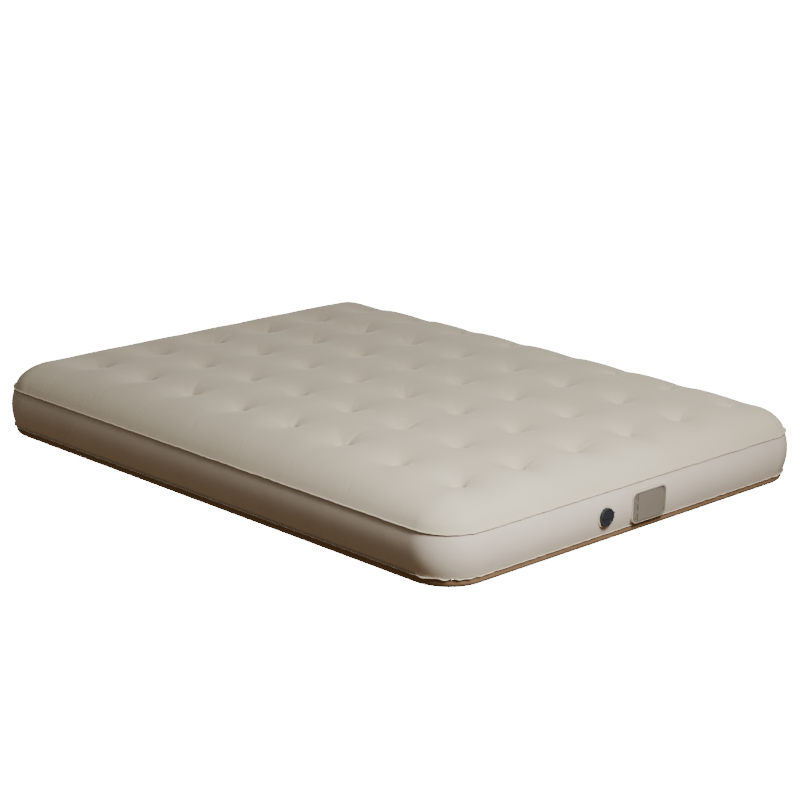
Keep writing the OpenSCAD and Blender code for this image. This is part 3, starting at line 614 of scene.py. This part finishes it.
for node, piece in frame["nodes"].items():
    if slots[node] in finishes:
        piece.data.materials.clear()
        piece.data.materials.append(finishes[slots[node]])

# --- Return spring ----------------------------------------------------------------------
# The steel coil spring behind the outlet's plunger: drawn wire wound in five turns. In the pump
# it is held at its back end and shortens as the selector's cam pushes the plunger in; here it is
# wound at one length and fixed to the bed.

WIRE_R = 0.0005
TURNS, STEPS_A_TURN, SIDES = 5, 28, 10

spring_low, spring_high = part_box("plunger_spring")
middle_x, middle_z = (spring_low[0] + spring_high[0]) / 2, (spring_low[2] + spring_high[2]) / 2
wound_r = (spring_high[0] - spring_low[0]) / 2 - WIRE_R
wind = np.linspace(0, 2 * np.pi * TURNS, TURNS * STEPS_A_TURN + 1)
thick = np.full_like(wind, WIRE_R)
thick[[0, -1]] = 1e-6          # both ends of the wire close
side = np.linspace(0, 2 * np.pi, SIDES, endpoint=False)
# A tube round a helix: the wire's section lies in the plane through the spring's axis
radius = wound_r + thick[:, None] * np.cos(side)
length_way = np.linspace(spring_low[1] + WIRE_R, spring_high[1] - WIRE_R, len(wind))
coil_points = np.stack([middle_x + radius * np.cos(wind)[:, None],
                        length_way[:, None] + thick[:, None] * np.sin(side),
                        middle_z + radius * np.sin(wind)[:, None]], axis=-1)
spring = grid_object("return_spring", coil_points, around=True, flip=True)
spring.data.materials.append(finishes["steel"])
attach(spring, "bed")
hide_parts("plunger_spring")
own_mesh(spring)

# --- Camera, light and floor ------------------------------------------------------------
# A long lens from over the near corner, one soft light in front of the pump's end, a weak and
# low one at the right, a dim warm surround, and a plain pale floor.

TURN = math.radians(-44.84)
TILT = math.radians(15.79)
ROLL = 0.0196
AIM = np.array([0.0, bed_y, 0.2118])
AWAY, ASIDE, ABOVE = 6.5818, 0.0272, -0.0416   # from AIM to the lens, along the camera's axes
FLOOR_HALF = 60
back = np.array([math.sin(TURN) * math.cos(TILT), -math.cos(TURN) * math.cos(TILT),
                 math.sin(TILT)])
right = np.array([math.cos(TURN), math.sin(TURN), 0.0])
up = np.cross(back, right)
right_rolled = math.cos(ROLL) * right + math.sin(ROLL) * up
up_rolled = math.cos(ROLL) * up - math.sin(ROLL) * right
camera = bpy.data.objects.new("camera", bpy.data.cameras.new("camera"))
bpy.context.scene.collection.objects.link(camera)
bpy.context.scene.camera = camera
camera.data.lens = 97.66
camera.data.sensor_width = 36
camera.data.clip_end = 200
eye = AIM + AWAY * back + ASIDE * right_rolled + ABOVE * up_rolled
pose = np.eye(4)
pose[:3, 0], pose[:3, 1], pose[:3, 2], pose[:3, 3] = right_rolled, up_rolled, back, eye
camera.matrix_world = Matrix(pose.tolist())


def softbox(name, place, aim, size, power, tint):
    """A square area light at a place, turned towards another."""
    light = bpy.data.objects.new(name, bpy.data.lights.new(name, "AREA"))
    light.data.size, light.data.energy, light.data.color = size, power, tint
    ahead = np.array(place, float) - np.array(aim, float)
    ahead /= np.linalg.norm(ahead)
    across = np.cross([0, 0, 1], ahead)
    across /= np.linalg.norm(across)
    turn_by = np.eye(4)
    turn_by[:3, 0], turn_by[:3, 1], turn_by[:3, 2], turn_by[:3, 3] = (
        across, np.cross(ahead, across), ahead, place)
    light.matrix_world = Matrix(turn_by.tolist())
    bpy.context.scene.collection.objects.link(light)


softbox("side", (3.2, -0.9, 0.95), (0.0, 0.0, 0.2), 0.5, 20, (1.0, 0.97, 0.90))
softbox("key", (-0.66, -2.25, 1.52), (-0.4, -0.9, 0.12), 0.5, 98, (1.0, 0.97, 0.93))

world = bpy.data.worlds.new("studio")
bpy.context.scene.world = world
world.use_nodes = True
sky = Shade(world.node_tree)
ahead = sky.node("ShaderNodeTexCoord", outlet="Generated")
height = sky.node("ShaderNodeSeparateXYZ", {"Vector": ahead}, outlet="Z")
tone = sky.node("ShaderNodeValToRGB", {"Fac": height * 0.5 + 0.5}, stops=[
    (0.0, (0.21, 0.12, 0.055, 1)), (0.9, (0.15, 0.14, 0.115, 1)),
    (0.45, (0.06, 0.030, 0.013, 1)), (0.6, (0.085, 0.070, 0.054, 1))])
background = world.node_tree.nodes["Background"]
world.node_tree.links.new(tone.socket, background.inputs["Color"])
background.inputs["Strength"].default_value = 1.0

floor_mesh = bpy.data.meshes.new("floor")
floor_mesh.from_pydata([(FLOOR_HALF * x, FLOOR_HALF * y, 0) for x, y in (
    (-1, -1), (1, -1), (1, 1), (-1, 1))], [], [(0, 1, 2, 3)])
floor = bpy.data.objects.new("floor", floor_mesh)
bpy.context.scene.collection.objects.link(floor)
floor.visible_diffuse = False
floor.visible_glossy = False
floor_mesh.materials.append(material("pale_floor", {
    "Base Color": (0.8, 0.8, 0.8, 1), "Roughness": 0.9, "Emission Color": (1, 1, 1, 1),
    "Emission Strength": 20.0}, lambda s: {}))
